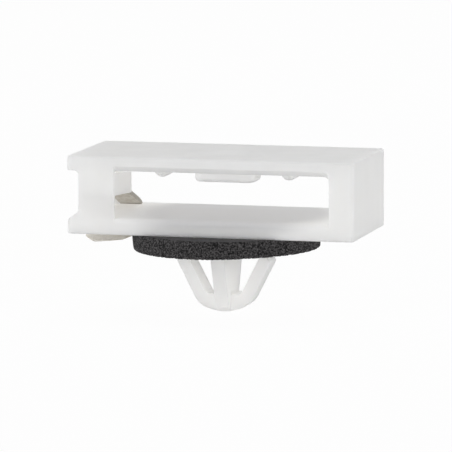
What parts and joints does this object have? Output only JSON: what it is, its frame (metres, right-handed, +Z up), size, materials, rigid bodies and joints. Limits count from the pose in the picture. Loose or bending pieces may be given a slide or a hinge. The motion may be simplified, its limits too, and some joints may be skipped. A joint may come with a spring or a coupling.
{
  "type": "retaining clip",
  "caption": "Push-in retaining clip: an open moulded frame on a split prong, with a foam sealing ring and a bent spring-steel clip at one end.",
  "frame": {"origin": "on the prong's axis, at the panel face that the foam seal's underside lies on", "axes": "+Z up out of the panel, +X along the frame away from its spring clip, -Y towards the frame's front opening"},
  "size_m": [0.035, 0.0226, 0.019],
  "materials": {
    "natural_nylon": "natural nylon, satin as moulded, slightly translucent",
    "black_foam": "closed-cell foam, die-cut",
    "spring_steel": "bare rolled spring steel, dull"
  },
  "bodies": {
    "root": {"clip_body": "natural_nylon", "foam_seal": "black_foam", "spring_clip": "spring_steel"}
  },
  "joints": []
}
